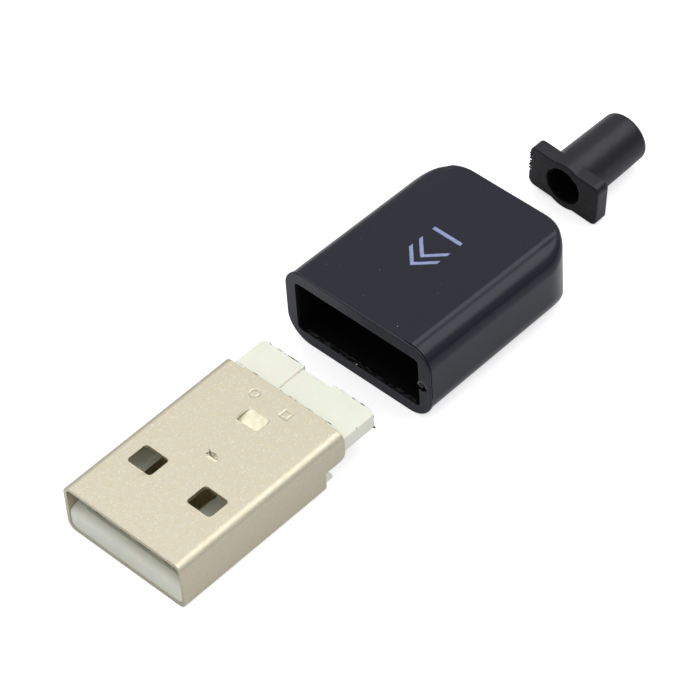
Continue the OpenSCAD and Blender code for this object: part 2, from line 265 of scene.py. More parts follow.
def capped_tubes(name: str, tubes: Sequence[Array]) -> bpy.types.Object:
    """Join tubes that are closed by a face at each end into one piece.

    Args:
        name: Name of the piece.
        tubes: Arrays of (rings, points, 3) in millimetres.

    Returns:
        The piece, with its faces outwards.
    """
    vertices: list[Array] = []
    faces: list[Sequence[int]] = []
    start = 0
    for tube in tubes:
        rows, columns = tube.shape[:2]
        flat = tube.reshape(-1, 3)
        quads = grid_faces(rows, columns, False)
        ends = [list(range(columns))[::-1], list(range((rows - 1) * columns, rows * columns))]
        if signed_volume(flat - flat.mean(0), quads) < 0:
            quads = quads[:, ::-1]
            ends = [end[::-1] for end in ends]
        faces += (quads + start).tolist() + [[i + start for i in end] for end in ends]
        vertices.append(flat)
        start += len(flat)
    return new_piece(name, np.concatenate(vertices), faces)


def face_centres(piece: bpy.types.Object) -> Array:
    """Centres of a piece's faces.

    Args:
        piece: The piece.

    Returns:
        Array of (faces, 3) in millimetres.
    """
    centres = np.empty(3 * len(piece.data.polygons))
    piece.data.polygons.foreach_get("center", centres)
    return centres.reshape(-1, 3) / MM


def paint_faces(piece: bpy.types.Object, chosen: Array, index: int) -> None:
    """Give chosen faces the material at an index.

    Args:
        piece: The piece.
        chosen: One truth value a face.
        index: Place of the material among the piece's own.
    """
    numbers = np.empty(len(piece.data.polygons), np.int32)
    piece.data.polygons.foreach_get("material_index", numbers)
    numbers[chosen] = index
    piece.data.polygons.foreach_set("material_index", numbers)


@dataclass(frozen=True)
class Opening:
    """A rectangle cut out of a sheet, in millimetres."""

    low: tuple[float, float]
    high: tuple[float, float]
    under: float

    def holds(self, point: Vector) -> bool:
        """Whether a point in metres lies in the rectangle and above its underside."""
        x, y, z = point / MM
        return (self.low[0] < x < self.high[0] and self.low[1] < y < self.high[1]
                and z > self.under)

    def cut(self, work: bmesh.types.BMesh) -> None:
        """Cut the rectangle out of a mesh and wall up its four sides with sharp edges.

        Args:
            work: The mesh, in metres.
        """
        for axis in (0, 1):
            for at in (self.low[axis], self.high[axis]):
                point, normal = Vector((0, 0, 0)), Vector((0, 0, 0))
                point[axis], normal[axis] = at * MM, 1.0
                faces = [face for face in work.faces
                         if all(v.co.z > self.under * MM for v in face.verts)]
                geometry = set(faces)
                for face in faces:
                    geometry.update(face.edges)
                    geometry.update(face.verts)
                bmesh.ops.bisect_plane(work, geom=list(geometry), dist=1e-8, plane_co=point,
                                       plane_no=normal)
        inside = [face for face in work.faces if self.holds(face.calc_center_median())]
        bmesh.ops.delete(work, geom=inside, context="FACES")
        rims = [edge for edge in work.edges if edge.is_boundary]
        made = bmesh.ops.bridge_loops(work, edges=rims)
        for face in made["faces"]:
            for edge in face.edges:
                edge.smooth = False


def finished_copy(node: str, name: str, edge: float,
                  opening: Optional[Opening] = None) -> bpy.types.Object:
    """Copy a node, weld it, and round its edges.

    Args:
        node: Node that the copy stands for.
        name: Name of the new piece.
        edge: Width of the rounded edges in millimetres.
        opening: Rectangle to cut out, if another piece fills it.

    Returns:
        The piece, which replaces the node.
    """
    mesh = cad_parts[node].data.copy()
    mesh.name = name
    mesh.materials.clear()
    work = bmesh.new()
    work.from_mesh(mesh)
    bmesh.ops.remove_doubles(work, verts=work.verts, dist=WELD)
    bmesh.ops.dissolve_limit(work, angle_limit=FLAT_ANGLE, verts=work.verts, edges=work.edges)
    weight = work.edges.layers.float.new("bevel_weight_edge")
    for face in work.faces:
        face.smooth = True
    for rim in work.edges:
        rim.smooth = True
        rim[weight] = float(rim.calc_face_angle(0.0) > SHARP_ANGLE)
    if opening is not None:
        opening.cut(work)
    work.to_mesh(mesh)
    work.free()
    piece = bpy.data.objects.new(name, mesh)
    bpy.context.scene.collection.objects.link(piece)
    bevel = piece.modifiers.new("edges", "BEVEL")
    bevel.width = edge * MM
    bevel.segments = 2
    bevel.limit_method = "WEIGHT"
    bevel.miter_outer = "MITER_SHARP"
    normals = piece.modifiers.new("normals", "WEIGHTED_NORMAL")
    normals.keep_sharp = True
    normals.weight = 100
    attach(piece, "root")
    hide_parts(node)
    return piece


# ---- Rings ----

# Points on each quarter circle, each side and the underside of a ring.
CORNER_POINTS = 28
SIDE_POINTS = 52
UNDER_POINTS = 60
# Points on the middle of a ring's top and on each of its ends, and the middle's share of it.
TOP_MIDDLE_POINTS = 34
TOP_END_POINTS = 22
TOP_MIDDLE = 0.84


def quarter_angles() -> Array:
    """Angles of the points on a quarter circle, without its end."""
    return np.linspace(0, QUARTER_TURN, CORNER_POINTS, endpoint=False)


def top_points(reach: float) -> Array:
    """Places across a top, from -reach up to reach, closer together near both ends.

    Args:
        reach: Half of the top's width.

    Returns:
        Array of places, without the last end.
    """
    end = np.linspace(-1, -TOP_MIDDLE, TOP_END_POINTS, endpoint=False)
    middle = np.linspace(-TOP_MIDDLE, TOP_MIDDLE, TOP_MIDDLE_POINTS, endpoint=False)
    step = (1 - TOP_MIDDLE) / TOP_END_POINTS
    return np.concatenate([end, middle, -end[::-1] - step]) * reach


def rounded_ring(half_width: float, low: float, top: float, low_r: float,
                 high_r: float) -> Array:
    """Outline of a rounded rectangle in (y, z), sampled alike for every size.

    Each straight and each quarter circle has a fixed number of points, so rings of
    different sizes match point for point.

    Args:
        half_width: Half of the width.
        low: Height of the bottom.
        top: Height of the top.
        low_r: Radius of the lower corners.
        high_r: Radius of the upper corners.

    Returns:
        Array of (points, 2), starting at the lower right corner and going up the right side.
    """
    turn = quarter_angles()
    sine, cosine = np.sin(turn), np.cos(turn)
    low_y, high_y = half_width - low_r, half_width - high_r
    low_z, high_z = low + low_r, top - high_r
    side = np.linspace(low_z, high_z, SIDE_POINTS, endpoint=False)
    across = top_points(high_y)
    under = np.linspace(low_y, -low_y, UNDER_POINTS, endpoint=False)
    parts = [(-low_y - low_r * sine, low_z - low_r * cosine),
             (np.full_like(side, -half_width), side),
             (-high_y - high_r * cosine, high_z + high_r * sine),
             (across, np.full_like(across, top)),
             (high_y + high_r * sine, high_z + high_r * cosine),
             (np.full_like(side, half_width), side[::-1] + (side[1] - side[0])),
             (low_y + low_r * cosine, low_z - low_r * sine),
             (under, np.full_like(under, low))]
    return np.concatenate([np.stack(part, 1) for part in parts])


def place_ring(x: float, outline: Array) -> Array:
    """Put an outline of (y, z) at x."""
    return np.concatenate([np.full((len(outline), 1), x), outline], 1)


def blend_rings(first: Array, last: Array, steps: int) -> list[Array]:
    """Rings on straight lines between two rings, without the two themselves."""
    return [first + (last - first) * k / (steps + 1) for k in range(1, steps + 1)]


# ---- Finishes ----

# Ranges of the noise between which the colour and the roughness change, and the pale dots of
# painted glints appear.
MOTTLE_RANGE = (0.35, 0.65)
SHINE_RANGE = (0.3, 0.7)
PAINTED_GLINT_RANGE = (0.57, 0.68)
PAINTED_GLINT_COLOUR: Rgb = (1.0, 0.985, 0.90)
SUBSURFACE_REACH = 0.4


def linear(colour: Rgb) -> tuple[float, float, float, float]:
    """Turn a display colour into the linear one that a shader takes.

    Args:
        colour: Red, green and blue from 0 to 1.

    Returns:
        The linear values and an alpha of 1.
    """
    def channel(value: float) -> float:
        """Linear value of one display value."""
        return value / 12.92 if value <= 0.04045 else ((value + 0.055) / 1.055) ** 2.4
    return (*(channel(value) for value in colour), 1.0)


class Nodes:
    """A small hand for laying out a material's nodes."""

    def __init__(self, name: str) -> None:
        """Start a material with its principled shader and the object's own coordinates.

        Args:
            name: Name of the material.
        """
        self.material = bpy.data.materials.new(name)
        self.material.use_nodes = True
        self.tree = self.material.node_tree
        self.shader = self.tree.nodes["Principled BSDF"]
        self.place = self.tree.nodes.new("ShaderNodeTexCoord").outputs["Object"]

    def link(self, source: Socket, target: Socket) -> None:
        """Join two sockets."""
        self.tree.links.new(source, target)

    def noise(self, size: float, detail: float, roughness: float) -> Socket:
        """Noise whose features are about size millimetres across.

        Args:
            size: Size of a feature in millimetres.
            detail: Number of finer layers.
            roughness: Strength of the finer layers.

        Returns:
            The noise's factor.
        """
        node = self.tree.nodes.new("ShaderNodeTexNoise")
        node.inputs["Scale"].default_value = 1 / (size * MM)
        node.inputs["Detail"].default_value = detail
        node.inputs["Roughness"].default_value = roughness
        self.link(self.place, node.inputs["Vector"])
        return node.outputs["Fac"]

    def spread(self, value: Socket, source: tuple[float, float],
               target: tuple[float, float]) -> Socket:
        """Map a value's range onto another one, clamped.

        Args:
            value: The value.
            source: Low and high end of its range.
            target: Results at those two ends.

        Returns:
            The mapped value.
        """
        node = self.tree.nodes.new("ShaderNodeMapRange")
        for key, number in zip(("From Min", "From Max", "To Min", "To Max"),
                               (*source, *target)):
            node.inputs[key].default_value = number
        self.link(value, node.inputs["Value"])
        return node.outputs["Result"]

    def mix(self, share: Socket, first: Union[Rgb, Socket], second: Union[Rgb, Socket]) -> Socket:
        """Mix two colours, each a display colour or a socket.

        Args:
            share: Share of the second colour.
            first: The first colour.
            second: The second colour.

        Returns:
            The mixed colour.
        """
        node = self.tree.nodes.new("ShaderNodeMix")
        node.data_type = "RGBA"
        self.link(share, node.inputs["Factor"])
        for key, colour in (("A", first), ("B", second)):
            socket = [s for s in node.inputs if s.name == key and s.type == "RGBA"][0]
            if isinstance(colour, Socket):
                self.link(colour, socket)
            else:
                socket.default_value = linear(colour)
        return [s for s in node.outputs if s.type == "RGBA"][0]

    def bump(self, height: Socket, depth: float, before: Optional[Socket] = None) -> Socket:
        """Bump the surface.

        Args:
            height: Height from 0 to 1.
            depth: Millimetres that a height of 1 stands for.
            before: Normal that an earlier bump gave.

        Returns:
            The bumped normal.
        """
        node = self.tree.nodes.new("ShaderNodeBump")
        node.inputs["Strength"].default_value = 1.0
        node.inputs["Distance"].default_value = depth * MM
        self.link(height, node.inputs["Height"])
        if before is not None:
            self.link(before, node.inputs["Normal"])
        return node.outputs["Normal"]


@dataclass(frozen=True)
class Finish:
    """A mottled, grained finish.

    Colours are display colours, sizes are millimetres. The painted glint is the largest share of
    pale dots painted into the colour as glints: a painted highlight.
    """

    name: str
    light: Rgb
    dark: Rgb
    mottle: float
    roughness: tuple[float, float]
    grain: float
    grain_depth: float
    metallic: float = 0.0
    ior: float = 1.5
    subsurface: float = 0.0
    coarse_depth: float = 0.0
    painted_glint: float = 0.0
    tint: Rgb = (1, 1, 1)

    def material(self) -> bpy.types.Material:
        """Build the finish's material.

        Returns:
            The new material.
        """
        nodes = Nodes(self.name)
        shader = nodes.shader.inputs
        mottle = nodes.noise(self.mottle, detail=4, roughness=0.6)
        grain = nodes.noise(self.grain, detail=2, roughness=0.5)
        colour = nodes.mix(nodes.spread(mottle, MOTTLE_RANGE, (0, 1)), self.dark, self.light)
        # Painted highlight: pale dots in the colour stand in for glints of light on the grain.
        if self.painted_glint:
            painted_glint_dots = nodes.spread(grain, PAINTED_GLINT_RANGE, (0, self.painted_glint))
            colour = nodes.mix(painted_glint_dots, colour, PAINTED_GLINT_COLOUR)
        nodes.link(colour, shader["Base Color"])
        nodes.link(nodes.spread(mottle, SHINE_RANGE, self.roughness[::-1]), shader["Roughness"])
        normal = nodes.bump(grain, self.grain_depth)
        if self.coarse_depth:
            normal = nodes.bump(mottle, self.coarse_depth, normal)
        nodes.link(normal, shader["Normal"])
        shader["Metallic"].default_value = self.metallic
        shader["IOR"].default_value = self.ior
        shader["Specular Tint"].default_value = (*self.tint, 1.0)
        shader["Subsurface Weight"].default_value = self.subsurface
        shader["Subsurface Scale"].default_value = SUBSURFACE_REACH * MM
        return nodes.material


# Its pale dots are painted glints, a painted highlight on the grain.
SATIN_NICKEL = Finish(
    "satin_nickel", light=(0.800, 0.777, 0.712), dark=(0.808, 0.774, 0.680), mottle=0.5,
    roughness=(0.42, 0.50), grain=0.12, grain_depth=0.008, metallic=1.0, coarse_depth=0.010,
    painted_glint=0.25)
COINED_NICKEL = Finish(
    "coined_nickel", light=(0.805, 0.785, 0.70), dark=(0.78, 0.755, 0.655), mottle=0.4,
    roughness=(0.30, 0.38), grain=0.1, grain_depth=0.003, metallic=1.0, coarse_depth=0.004)
WHITE_MOULDED = Finish(
    "white_moulded", light=(0.928, 0.938, 0.885), dark=(0.912, 0.92, 0.86), mottle=2.2,
    roughness=(0.38, 0.5), grain=0.12, grain_depth=0.002, subsurface=0.25)
GILT = Finish(
    "gilt", light=(0.74, 0.68, 0.54), dark=(0.62, 0.56, 0.43), mottle=0.3,
    roughness=(0.28, 0.42), grain=0.08, grain_depth=0.002, metallic=1.0)
SATIN_BLACK = Finish(
    "satin_black", light=(0.02, 0.028, 0.11), dark=(0.008, 0.026, 0.085), mottle=1.4,
    roughness=(0.21, 0.26), grain=0.1, grain_depth=0.001, ior=1.42, tint=(0.92, 0.94, 1.0))
# Painted shade: near-black colour for the cover's cavity and gate pit, the step behind its rim,
# and the bush's bore and mouth, where shade falls.
SHADE_BLACK = Finish(
    "painted_shade_black", light=(0.004, 0.004, 0.006), dark=(0.001, 0.001, 0.002), mottle=0.8,
    roughness=(0.75, 0.85), grain=0.2, grain_depth=0.004, ior=1.2)
SOFT_BLACK = Finish(
    "soft_black", light=(0.03, 0.025, 0.07), dark=(0.015, 0.01, 0.05), mottle=0.8,
    roughness=(0.32, 0.40), grain=0.09, grain_depth=0.0015, ior=1.44, tint=(0.94, 0.92, 1.0))
# Matte black of the bush's cut front face, painted darker as painted shade.
CUT_FACE_SHADE = Finish(
    "cut_face_painted_shade", light=(0.012, 0.010, 0.012), dark=(0.006, 0.006, 0.012), mottle=0.5,
    roughness=(0.42, 0.55), grain=0.1, grain_depth=0.003, ior=1.36, tint=(0.95, 0.93, 1.0))
# Torn black plastic of the gate's lip, painted light grey as a painted highlight.
TORN_LIP_HIGHLIGHT = Finish(
    "torn_lip_painted_highlight", light=(0.48, 0.49, 0.48), dark=(0.22, 0.225, 0.22), mottle=0.1,
    roughness=(0.5, 0.7), grain=0.04, grain_depth=0.004)
NIB_BLACK = Finish(
    "nib_black", light=(0.17, 0.175, 0.17), dark=(0.05, 0.05, 0.052), mottle=0.1,
    roughness=(0.5, 0.7), grain=0.04, grain_depth=0.004)
# Soiled burrs along the shell's and the plate's edges; the same dark colour is painted shade in
# the stake's crack.
BURR_AND_CRACK_SHADE = Finish(
    "burr_and_painted_crack_shade", light=(0.20, 0.165, 0.105), dark=(0.07, 0.06, 0.045), mottle=0.12,
    roughness=(0.5, 0.7), grain=0.05, grain_depth=0.004)
PALE_INK = Finish(
    "pale_ink", light=(0.60, 0.64, 0.80), dark=(0.52, 0.56, 0.73), mottle=0.25,
    roughness=(0.5, 0.62), grain=0.06, grain_depth=0.002)
DUST = Finish(
    "dust", light=(0.80, 0.80, 0.82), dark=(0.66, 0.66, 0.68), mottle=0.1,
    roughness=(0.7, 0.85), grain=0.05, grain_depth=0.004)


# ---- Plug ----


@dataclass
class Roof:
    """The middle of the shell's roof: a pressed tab, a punched stake and two plain stamps.

    Lengths are millimetres, counted from the plug's mouth. Those of the stake's arch, lip,
    shallow side and crack are counted from the stake's middle.
    """

    low: tuple[float, float] = (8.2, -2.6)
    high: tuple[float, float] = (16.2, 2.6)
    step: float = 0.036
    sheet: float = 0.3
    cut_depth: float = 1.1
    coined_off: tuple[float, float] = (-0.05, 0.002)
    tab_x: tuple[float, float] = (12.6, 14.2)
    tab_y: tuple[float, float] = (-1.04, 0.96)
    tab_depth: float = 0.36
    tab_fall: float = 0.85
    tab_wall: float = 0.07
    tab_bow: float = 0.07
    tab_right_r: float = 0.3
    tab_left_r: float = 0.12
    burr_height: float = 0.035
    burr_width: float = 0.05
    burr_off: float = 0.03
    burr_from_y: float = 0.4
    stake: tuple[float, float] = (9.0, -0.18)
    stake_r: float = 0.6
    stake_rim: float = 0.2
    stake_depth: float = 0.16
    shallow_share: float = 0.3
    shallow_y: tuple[float, float] = (-0.3, 0.2)
    arch_x: float = 0.26
    arch_bend: float = 0.35
    arch_wall: float = 0.06
    lip_x: tuple[float, float] = (-0.4, -0.18)
    lip_y: float = -0.16
    lip_half: float = 0.46
    lip_height: float = 0.05
    lip_wall: float = 0.05
    lip_end: float = 0.08
    # Path of the stake's crack, along which a dark tube of painted shade runs.
    crack: tuple[tuple[float, float], ...] = (
        (0.25, 0.82), (0.22, 0.65), (0.18, 0.46), (0.1, 0.34), (0.0, 0.28), (-0.08, 0.22))
    crack_r: float = 0.06
    crack_sunk: float = 0.02
    ring: tuple[float, float] = (15.3, 1.72)
    ring_r: float = 0.36
    square: tuple[float, float] = (15.25, -1.5)
    square_half: float = 0.342
    stamp_w: float = 0.13
    stamp_wall: float = 0.104
    stamp_depth: float = 0.035
    origin: float = field(default_factory=lambda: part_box("shell")[0].x / MM)
    top: float = field(default_factory=lambda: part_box("shell")[1].z / MM)

    def tab(self, x: Array, y: Array) -> Array:
        """Depth of the pressed tab.

        Its floor falls from its rear to its front, and stands off a steep wall along a
        rectangle with large round corners on the right. A low burr runs along the left wall.

        Args:
            x: Places along the plug.
            y: Places across it.

        Returns:
            Depth at each place, negative on the burr.
        """
        middle = np.array([sum(self.tab_x) / 2, sum(self.tab_y) / 2])
        half = np.array([np.ptp(self.tab_x) / 2, np.ptp(self.tab_y) / 2])
        bow = self.tab_bow * (1 - ((x - middle[0]) / half[0]) ** 2)
        radius = np.where(y < middle[1], self.tab_right_r, self.tab_left_r)
        gap_x = np.abs(x - middle[0]) - half[0] + radius
        gap_y = np.abs(y - middle[1]) - half[1] + radius - np.where(y > middle[1], bow, 0)
        inside = radius - np.hypot(np.maximum(gap_x, 0), np.maximum(gap_y, 0))
        inside = inside - np.minimum(np.maximum(gap_x, gap_y), 0)
        slope = np.clip((self.tab_x[1] - x) / np.ptp(self.tab_x), 0, 1)
        burr = self.burr_height * np.exp(-((inside + self.burr_off) / self.burr_width) ** 2)
        burr = burr * (y > self.burr_from_y) * slope
        return self.tab_depth * slope ** self.tab_fall * ease(inside / self.tab_wall) - burr

    def punch(self, x: Array, y: Array) -> Array:
        """Depth of the stake: a hollow between a straight lip and an arched wall.

        The lip rises evenly to the rear and drops off. The hollow is deepest on the left.

        Args:
            x: Places along the plug.
            y: Places across it.

        Returns:
            Depth at each place, negative on the lip.
        """
        u, v = x - self.stake[0], y - self.stake[1]
        foot, brow = self.lip_x
        arch = self.arch_x - self.arch_bend * (v / self.stake_r) ** 2
        dish = ease((self.stake_r - np.hypot(u, v)) / self.stake_rim)
        floor = ease((u - brow) / self.lip_wall) * ease((arch - u) / self.arch_wall)
        left = ease((v - self.shallow_y[0]) / np.ptp(self.shallow_y))
        side = self.shallow_share + (1 - self.shallow_share) * left
        rise = np.clip((u - foot) / (brow - foot), 0, 1)
        back = ease((brow + self.lip_wall - u) / self.lip_wall)
        ends = ease((self.lip_half - np.abs(v - self.lip_y)) / self.lip_end)
        lip = self.lip_height * rise * back * ends
        return self.stake_depth * dish * floor * side - lip

    def stamps(self, x: Array, y: Array) -> Array:
        """Depth of a stamped ring and a stamped square.

        Args:
            x: Places along the plug.
            y: Places across it.

        Returns:
            Depth at each place.
        """
        ring = np.abs(np.hypot(x - self.ring[0], y - self.ring[1]) - self.ring_r)
        away = np.maximum(np.abs(x - self.square[0]), np.abs(y - self.square[1]))
        near = np.minimum(ring, np.abs(away - self.square_half))
        return self.stamp_depth * ease((self.stamp_w - near) / self.stamp_wall)

    def crack_shade_tube(self) -> Array:
        """Painted shade of the crack along the stake's arched wall, as a dark ragged tube.

        Returns:
            Array of (stations, 6, 3).
        """
        path = np.array(self.crack) + np.array(self.stake) + np.array([self.origin, 0])
        height = np.full(len(path), self.top - self.crack_sunk)
        return ragged_tube(np.column_stack([path, height]), self.crack_r, 9, -0.2)

    def opening(self) -> Opening:
        """Rectangle that this piece fills, in the row's frame."""
        return Opening((self.low[0] + self.origin, self.low[1]),
                       (self.high[0] + self.origin, self.high[1]), self.top - self.cut_depth)

    def build(self, nickel: bpy.types.Material) -> bpy.types.Object:
        """Make the slab from its depth at each place of a fine grid.

        Args:
            nickel: Material of the sheet.

        Returns:
            The piece, its pressed floors and its lip smoother and brighter than the sheet.
        """
        x = np.arange(self.low[0], self.high[0] + self.step / 2, self.step)
        y = np.arange(self.low[1], self.high[1] + self.step / 2, self.step)
        x[-1], y[-1] = self.high[0], self.high[1]
        x, y = np.meshgrid(x, y, indexing="ij")
        pressed = self.tab(x, y) + self.punch(x, y)
        upper = np.stack([x + self.origin, y, self.top - pressed - self.stamps(x, y)], -1)
        lower = upper.copy()
        lower[..., 2] = self.top - self.sheet - np.maximum(pressed, 0)
        slab = slab_piece("shell_roof", upper, lower)
        dress(slab, nickel, COINED_NICKEL.material())
        off_top = face_centres(slab)[:, 2] - self.top
        paint_faces(slab, (off_top < self.coined_off[0]) | (off_top > self.coined_off[1]), 1)
        return slab


@dataclass
class Plug:
    """The folded shell with its insulator and four contacts. Lengths are millimetres."""

    shell_edge: float = 0.045
    insulator_edge: float = 0.085
    contact_edge: float = 0.03
    plate_top: float = 3.58
    plate_right: float = -5.635
    corner: tuple[float, float] = (0.14, -5.5)
    flake: tuple[Place, ...] = ((0.0, 0.0, 0.06), (0.03, -0.02, 0.0), (0.0, 0.03, -0.07),
                                (0.04, 0.0, -0.13))
    flake_z: float = 1.98
    contacts: tuple[str, ...] = ("contact_vbus", "contact_d_minus", "contact_d_plus",
                                 "contact_ground")
    roof: Roof = field(default_factory=Roof)

    def burrs_and_crack_shade(self) -> bpy.types.Object:
        """Make the soiled, ragged burrs on the shell's rear edge and the plate, and the dark tube
        of painted shade in the stake's crack.

        Returns:
            The piece.
        """
        end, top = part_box("insulator")[1].x / MM, self.plate_top
        fold_x, fold_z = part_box("shell")[1].x / MM - 0.005, self.roof.top - 0.03
        rear_x, rear_z = end - 0.045, top - 0.005
        corner_x, corner_y = end - self.corner[0], self.corner[1]
        lines = (
            RaggedLine((fold_x, -5.3, fold_z), (fold_x, 5.3, fold_z), 0.05, 3, 0.3),
            RaggedLine((rear_x, 1.7, rear_z), (rear_x, 5.1, rear_z), 0.05, 4, 0.4),
            RaggedLine((rear_x, -5.2, rear_z), (rear_x, -1.7, rear_z), 0.05, 5, 0.4),
            RaggedLine((end - 3.4, self.plate_right, top - 0.03),
                       (end - 0.45, self.plate_right, top - 0.03), 0.04, 12),
            RaggedLine((corner_x, corner_y, 2.1), (corner_x, corner_y, top), 0.045, 7, 0.1))
        flake = np.array(self.flake) + np.array([corner_x, corner_y, self.flake_z])
        tubes = [line.tube() for line in lines]
        tubes += [ragged_tube(flake, 0.1, 8, 0.0), self.roof.crack_shade_tube()]
        return capped_tubes("edge_burrs_and_crack_shade", tubes)

    def build(self) -> list[bpy.types.Object]:
        """Finish the shell, the insulator and the contacts, and add the roof, the burrs and the
        crack's painted shade.

        Returns:
            The pieces made.
        """
        nickel = SATIN_NICKEL.material()
        shell = finished_copy("shell", "shell_sheet", self.shell_edge,
                              self.roof.opening())
        dress(shell, nickel)
        roof = self.roof.build(nickel)
        insulator = finished_copy("insulator", "insulator_body",
                                  self.insulator_edge)
        dress(insulator, WHITE_MOULDED.material())
        burrs_and_crack_shade = self.burrs_and_crack_shade()
        dress(burrs_and_crack_shade, BURR_AND_CRACK_SHADE.material())
        pieces = [shell, roof, insulator, burrs_and_crack_shade]
        gilt = GILT.material()
        for node in self.contacts:
            strip = finished_copy(node, node + "_strip", self.contact_edge)
            dress(strip, gilt)
            pieces.append(strip)
        return pieces


# ---- Cover ----


@dataclass
class Cover:
    """The push-on cover: one closed skin that runs round its outside and its cavity.

    Lengths are millimetres, counted from the cover's own mouth, and angles are degrees.
    """

    rim_length: float = 0.25
    rim_step: float = 0.1
    rim_high_r: float = 1.8
    rim_edge: float = 0.03
    rim_rows: tuple[float, float] = (0.13, 0.06)
    rim_soft_x: float = 0.02
    low_r: float = 2.3
    high_r: float = 1.65
    crown: float = 0.1
    drop: float = 0.5
    corner_r: float = 3.6
    rear_r: float = 0.3
    corner_fade: float = 3.5
    crown_half: float = 5.66
    crown_slope: tuple[float, float] = (1.3, 0.4)
    cavity_half: float = 6.075
    cavity_height: float = 4.65
    cavity_r: float = 0.3
    wall: float = 1.3
    flare: float = 0.12
    lip_shift: float = 0.06
    tail_r: float = 2.375
    tail_edge: float = 0.08
    gate_place: tuple[float, float] = (-6.425, 3.55)
    gate_r: float = 0.5
    gate_depth: float = 0.35
    gate_wall: float = 0.14
    gate_margin: float = 0.2
    # Depths between which painted shade blackens the gate's pit.
    pit_x: tuple[float, float] = (0.01, 0.5)
    burr_turn: tuple[float, float, float] = (-20, 196, 9.0)
    burr_reach: float = 0.43
    burr_x: float = 0.09
    burr_drop: float = 0.08
    burr_r: float = 0.11
    lump_start: Place = (0.03, 0.2, 0.1)
    lump_end: Place = (0.3, 0.04, -0.16)
    lump_r: float = 0.37
    torn_front: float = 0.002
    nib_rows: tuple[float, ...] = (0.05, 0.13, 0.25)
    nib_ends: tuple[float, float] = (0.4, 0.5)
    nib_r: float = 0.055
    # Where painted shade blackens the step behind the rim round its right corner.
    shade_x: tuple[float, float] = (0.14, 0.23)
    shade_right: float = -4.7
    shade_low: float = 2.6
    shade_outer: tuple[float, float] = (6.6, 6.4)
    chevron_tips: tuple[float, float] = (6.4, 7.5)
    chevron_reach: float = 1.4
    chevron_w: float = 0.3
    bar_x: float = 10.3
    bar_w: float = 0.34
    print_y: float = 0.25
    print_half: float = 1.4
    print_rise: float = 0.014
    low: Vector = field(default_factory=lambda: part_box("cover")[0] / MM)
    high: Vector = field(default_factory=lambda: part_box("cover")[1] / MM)

    @property
    def length(self) -> float:
        """Length from mouth to rear face."""
        return self.high.x - self.low.x

    @property
    def height(self) -> float:
        """Height at the mouth."""
        return self.high.z

    @property
    def half_width(self) -> float:
        """Half of the rim's width."""
        return (self.high.y - self.low.y) / 2

    @property
    def body_half(self) -> float:
        """Half of the body's width."""
        return self.half_width - self.rim_step

    @property
    def cavity_low(self) -> float:
        """Height of the cavity's floor."""
        return (self.height - self.cavity_height) / 2

    def top_at(self, x: float) -> float:
        """Height of the crown at x: it falls evenly from the mouth to the rear."""
        return self.height - self.drop * x / self.length

    def past_corner(self, x: float) -> float:
        """How far x lies past the start of the round rear corners."""
        return max(0.0, x - (self.length - self.corner_r))

    def inset(self, x: float, y: Array) -> tuple[Array, Array]:
        """Distance inside the body's plan outline, and the outline's nearest direction.

        Args:
            x: Distance from the mouth.
            y: Places across the cover.

        Returns:
            Distances, and the cosine of the angle between the outline's outward direction
            and the y axis: 1 along the sides, 0 along the rear.
        """
        past = self.past_corner(x)
        if past == 0:
            return self.body_half - np.abs(y), np.ones_like(y)
        beyond = np.maximum(np.abs(y) - (self.body_half - self.corner_r), 0)
        away = np.hypot(past, beyond)
        return self.corner_r - away, beyond / np.maximum(away, 1e-9)

    def drop_off(self, x: float, y: Array, side_r: float) -> Array:
        """Height lost on the rounded edge: r - sqrt(r^2 - (r - s)^2) at a distance s inside.

        The radius r is the side's own along the sides, and shrinks to the rear's round the
        corners.

        Args:
            x: Distance from the mouth.
            y: Places across the cover.
            side_r: Radius along the sides.

        Returns:
            Height lost at each place.
        """
        inside, facing = self.inset(x, y)
        radius = self.rear_r + (side_r - self.rear_r) * facing ** self.corner_fade
        short = np.clip(radius - inside, 0, radius)
        return radius - np.sqrt(np.maximum(radius ** 2 - short ** 2, 0))

    def upper(self, x: float, y: Array) -> Array:
        """Height of the body's top: pitched, crowned and rounded off.

        Args:
            x: Distance from the mouth.
            y: Places across the cover.

        Returns:
            Height at each place.
        """
        slope = np.where(y > 0, self.crown_slope[0], self.crown_slope[1])
        crown = self.crown * (1 - ease((self.crown_half - np.abs(y)) / slope))
        return self.top_at(x) - crown - self.drop_off(x, y, self.high_r)

    def edge_start(self, x: float, wide: float, radius: float) -> float:
        """Where, across a ring of the body, a rounded long edge starts.

        The edge is as wide as its radius. Round the rear corners it shrinks with the radius,
        and the slanting cut through it widens it again.

        Args:
            x: Distance from the mouth.
            wide: Half width of the ring.
            radius: Radius of the edge along the sides.

        Returns:
            Distance from the middle.
        """
        narrowest, widest, least_slant = 0.3, 1.15 * radius, 0.05
        facing = 1 - (self.past_corner(x) / self.corner_r) ** 2
        turned = math.sqrt(max(0.0, facing)) ** self.corner_fade
        span = self.rear_r + (radius - self.rear_r) * turned
        slant = math.sqrt(max(least_slant, facing))
        return max(narrowest, wide - min(span / slant, widest))

